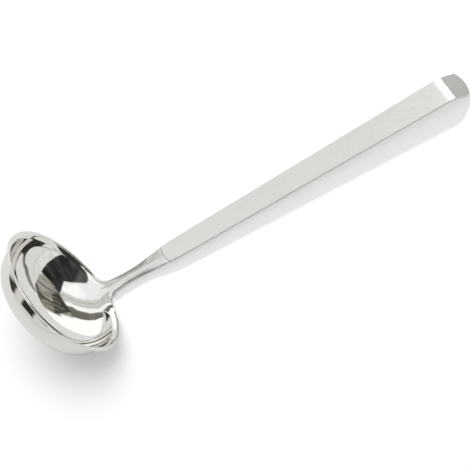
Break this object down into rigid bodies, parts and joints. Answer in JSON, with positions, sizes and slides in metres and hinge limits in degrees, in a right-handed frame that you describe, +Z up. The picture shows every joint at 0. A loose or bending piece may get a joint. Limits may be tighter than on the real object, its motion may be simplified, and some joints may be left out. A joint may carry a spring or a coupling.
{
  "type": "soup ladle",
  "caption": "Stainless steel soup ladle with a round mirror-polished bowl, a forged neck and a flat brushed handle that bends down at the end as a hook.",
  "frame": {"origin": "on the table, in the middle of the overall length and width", "axes": "+X along the handle from the bowl to the hook; +Z up; the bowl's opening tilts up and towards +X; XZ is the plane of symmetry"},
  "size_m": [0.3354, 0.0898, 0.0777],
  "materials": {
    "polished_steel": "mirror polished inside and out, with fine drawing rings",
    "satin_steel": "satin, ground along the handle",
    "weld_steel": "dull weld, a little below the ground faces"
  },
  "bodies": {
    "root": {"bowl": "polished_steel", "root_weld": "satin_steel", "neck": "satin_steel", "seam_weld": "weld_steel", "handle": "satin_steel"}
  },
  "joints": []
}
